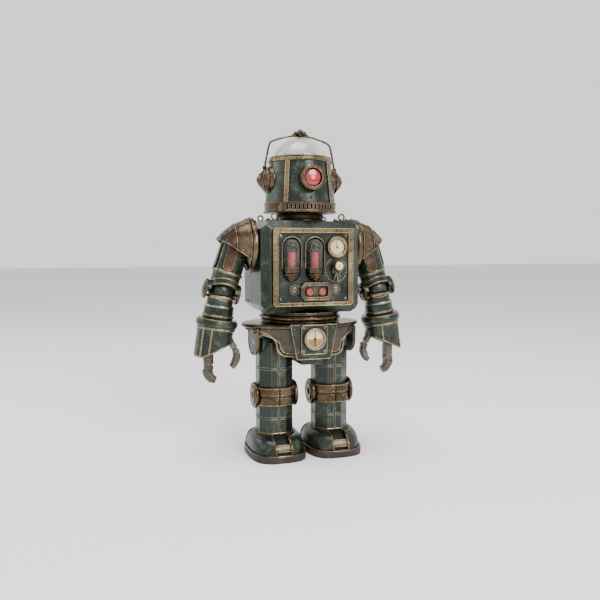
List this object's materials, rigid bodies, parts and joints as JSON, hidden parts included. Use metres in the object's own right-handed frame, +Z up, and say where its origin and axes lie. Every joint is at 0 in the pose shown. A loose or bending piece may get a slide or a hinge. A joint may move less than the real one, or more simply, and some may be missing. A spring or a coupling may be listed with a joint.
{
  "type": "toy walking robot",
  "caption": "Humanoid walking toy robot with a box torso, domed head, claw hands and jointed octagonal legs on broad feet.",
  "frame": {"origin": "on the floor between the feet, below the middle of the robot's outline", "axes": "+Z up, the front faces -Y, the robot's own left is +X"},
  "size_m": [0.1962, 0.0856, 0.2936],
  "materials": {
    "green_paint": "worn satin enamel",
    "brown_paint": "worn bronze lacquer",
    "bronze": "aged, polished edges",
    "brass": "aged satin",
    "dial_enamel": "cream enamel dial in a brass bezel",
    "gunmetal": "dull worn",
    "steel": "plain",
    "clear_glass": "smooth, slightly dusty",
    "red_glass": "smooth, lit from behind",
    "pink_core": "glossy",
    "orange_plastic": "glossy",
    "black_plastic": "matt",
    "battery_foil": "glossy wrap"
  },
  "bodies": {
    "pelvis": {"pelvis_shell": "green_paint", "pelvis_flange": "bronze", "hip_guards": "brown_paint", "belt_plate": "green_paint", "belt_gauge": "dial_enamel", "drive_unit": "steel"},
    "torso": {"torso_shell": "green_paint", "torso_back": "green_paint", "waist_ring": "bronze", "neck_collar": "bronze", "chest_panel": "green_paint", "panel_frame": "brass", "tube_bases": "bronze", "tube_glass": "clear_glass", "tube_cores": "pink_core", "chest_gauge": "dial_enamel", "button_bezel": "gunmetal", "battery_box": "black_plastic", "batteries": "battery_foil", "eye_bolts": "bronze", "panel_screws": "brass"},
    "selector": {"selector_knob": "bronze"},
    "button_a": {"button_left": "orange_plastic"},
    "button_b": {"button_right": "orange_plastic"},
    "head": {"head_shell": "green_paint", "head_base_ring": "bronze", "head_bands": "brass", "eye_bezel": "bronze", "eye_lens": "red_glass", "glass_dome": "clear_glass", "ear_caps": "bronze", "antenna_bow": "bronze"},
    "left_upper_arm": {"pauldron_left": "brown_paint", "upper_arm_left": "green_paint", "elbow_pin_left": "brass"},
    "left_forearm": {"forearm_left": "green_paint"},
    "left_hand": {"gauntlet_left": "green_paint"},
    "left_finger": {"finger_left": "gunmetal"},
    "left_finger_tip": {"finger_tip_left": "gunmetal"},
    "left_thumb": {"thumb_left": "gunmetal"},
    "left_thumb_tip": {"thumb_tip_left": "gunmetal"},
    "left_thigh": {"thigh_left": "green_paint", "knee_pin_left": "bronze"},
    "left_shin": {"shin_left": "green_paint"},
    "left_foot": {"foot_shell_left": "green_paint", "foot_sole_left": "brown_paint"},
    "right_upper_arm": {"pauldron_right": "brown_paint", "upper_arm_right": "green_paint", "elbow_pin_right": "brass"},
    "right_forearm": {"forearm_right": "green_paint"},
    "right_hand": {"gauntlet_right": "green_paint"},
    "right_finger": {"finger_right": "gunmetal"},
    "right_finger_tip": {"finger_tip_right": "gunmetal"},
    "right_thumb": {"thumb_right": "gunmetal"},
    "right_thumb_tip": {"thumb_tip_right": "gunmetal"},
    "right_thigh": {"thigh_right": "green_paint", "knee_pin_right": "bronze"},
    "right_shin": {"shin_right": "green_paint"},
    "right_foot": {"foot_shell_right": "green_paint", "foot_sole_right": "brown_paint"}
  },
  "joints": [
    {"name": "waist_turn", "type": "hinge", "parent": "pelvis", "child": "torso", "pos_m": [0, 0.00385, 0.118], "axis": [0, 0, 1], "range_deg": [-30, 30]},
    {"name": "head_turn", "type": "hinge", "parent": "torso", "child": "head", "pos_m": [0, 0.00385, 0.2185], "axis": [0, 0, 1], "range_deg": [-70, 70]},
    {"name": "selector_turn", "type": "hinge", "parent": "torso", "child": "selector", "pos_m": [0.0205, -0.03435, 0.1675], "axis": [0, -1, 0], "range_deg": [-60, 60]},
    {"name": "button_left_press", "type": "slide", "parent": "torso", "child": "button_a", "axis": [0, 1, 0], "range_m": [0, 0.0015], "stiffness_N_per_m": 400},
    {"name": "button_right_press", "type": "slide", "parent": "torso", "child": "button_b", "axis": [0, 1, 0], "range_m": [0, 0.0015], "stiffness_N_per_m": 400},
    {"name": "left_shoulder", "type": "hinge", "parent": "torso", "child": "left_upper_arm", "pos_m": [0.044, -0.00115, 0.189], "axis": [-1, 0, 0], "range_deg": [-45, 120]},
    {"name": "left_elbow", "type": "hinge", "parent": "left_upper_arm", "child": "left_forearm", "pos_m": [0.07416, -0.00115, 0.14849], "axis": [-0.9724, 0, -0.2334], "range_deg": [0, 50]},
    {"name": "left_wrist", "type": "hinge", "parent": "left_forearm", "child": "left_hand", "pos_m": [0.07854, -0.00115, 0.12083], "axis": [-0.1564, 0, 0.9877], "range_deg": [-60, 60]},
    {"name": "left_finger_root", "type": "hinge", "parent": "left_hand", "child": "left_finger", "pos_m": [0.08643, -0.00115, 0.0998], "axis": [0, 1, 0], "range_deg": [-12, 12]},
    {"name": "left_finger_knuckle", "type": "hinge", "parent": "left_finger", "child": "left_finger_tip", "pos_m": [0.0865, -0.00115, 0.0821], "axis": [0, 1, 0], "range_deg": [-20, 35]},
    {"name": "left_thumb_root", "type": "hinge", "parent": "left_hand", "child": "left_thumb", "pos_m": [0.06722, -0.00115, 0.10537], "axis": [0, -1, 0], "range_deg": [-12, 12]},
    {"name": "left_thumb_knuckle", "type": "hinge", "parent": "left_thumb", "child": "left_thumb_tip", "pos_m": [0.06182, -0.00115, 0.0954], "axis": [0, -1, 0], "range_deg": [-20, 25]},
    {"name": "left_hip", "type": "hinge", "parent": "pelvis", "child": "left_thigh", "pos_m": [0.0265, -0.00115, 0.103], "axis": [-1, 0, 0], "range_deg": [-12, 12]},
    {"name": "left_knee", "type": "hinge", "parent": "left_thigh", "child": "left_shin", "pos_m": [0.0265, -0.00115, 0.0545], "axis": [1, 0, 0], "range_deg": [0, 28]},
    {"name": "left_ankle", "type": "hinge", "parent": "left_shin", "child": "left_foot", "pos_m": [0.0265, -0.00115, 0.013], "axis": [1, 0, 0], "range_deg": [-10, 10]},
    {"name": "right_shoulder", "type": "hinge", "parent": "torso", "child": "right_upper_arm", "pos_m": [-0.044, -0.00115, 0.189], "axis": [-1, 0, 0], "range_deg": [-45, 120]},
    {"name": "right_elbow", "type": "hinge", "parent": "right_upper_arm", "child": "right_forearm", "pos_m": [-0.07416, -0.00115, 0.14849], "axis": [-0.9724, 0, 0.2334], "range_deg": [0, 50]},
    {"name": "right_wrist", "type": "hinge", "parent": "right_forearm", "child": "right_hand", "pos_m": [-0.07854, -0.00115, 0.12083], "axis": [0.1564, 0, 0.9877], "range_deg": [-60, 60]},
    {"name": "right_finger_root", "type": "hinge", "parent": "right_hand", "child": "right_finger", "pos_m": [-0.08643, -0.00115, 0.0998], "axis": [0, -1, 0], "range_deg": [-12, 12]},
    {"name": "right_finger_knuckle", "type": "hinge", "parent": "right_finger", "child": "right_finger_tip", "pos_m": [-0.0865, -0.00115, 0.0821], "axis": [0, -1, 0], "range_deg": [-20, 35]},
    {"name": "right_thumb_root", "type": "hinge", "parent": "right_hand", "child": "right_thumb", "pos_m": [-0.06722, -0.00115, 0.10537], "axis": [0, 1, 0], "range_deg": [-12, 12]},
    {"name": "right_thumb_knuckle", "type": "hinge", "parent": "right_thumb", "child": "right_thumb_tip", "pos_m": [-0.06182, -0.00115, 0.0954], "axis": [0, 1, 0], "range_deg": [-20, 25]},
    {"name": "right_hip", "type": "hinge", "parent": "pelvis", "child": "right_thigh", "pos_m": [-0.0265, -0.00115, 0.103], "axis": [-1, 0, 0], "range_deg": [-12, 12]},
    {"name": "right_knee", "type": "hinge", "parent": "right_thigh", "child": "right_shin", "pos_m": [-0.0265, -0.00115, 0.0545], "axis": [1, 0, 0], "range_deg": [0, 28]},
    {"name": "right_ankle", "type": "hinge", "parent": "right_shin", "child": "right_foot", "pos_m": [-0.0265, -0.00115, 0.013], "axis": [1, 0, 0], "range_deg": [-10, 10]}
  ],
  "couplings": [
    {"joint": "right_hip", "follows": "left_hip", "ratio": -1}
  ]
}
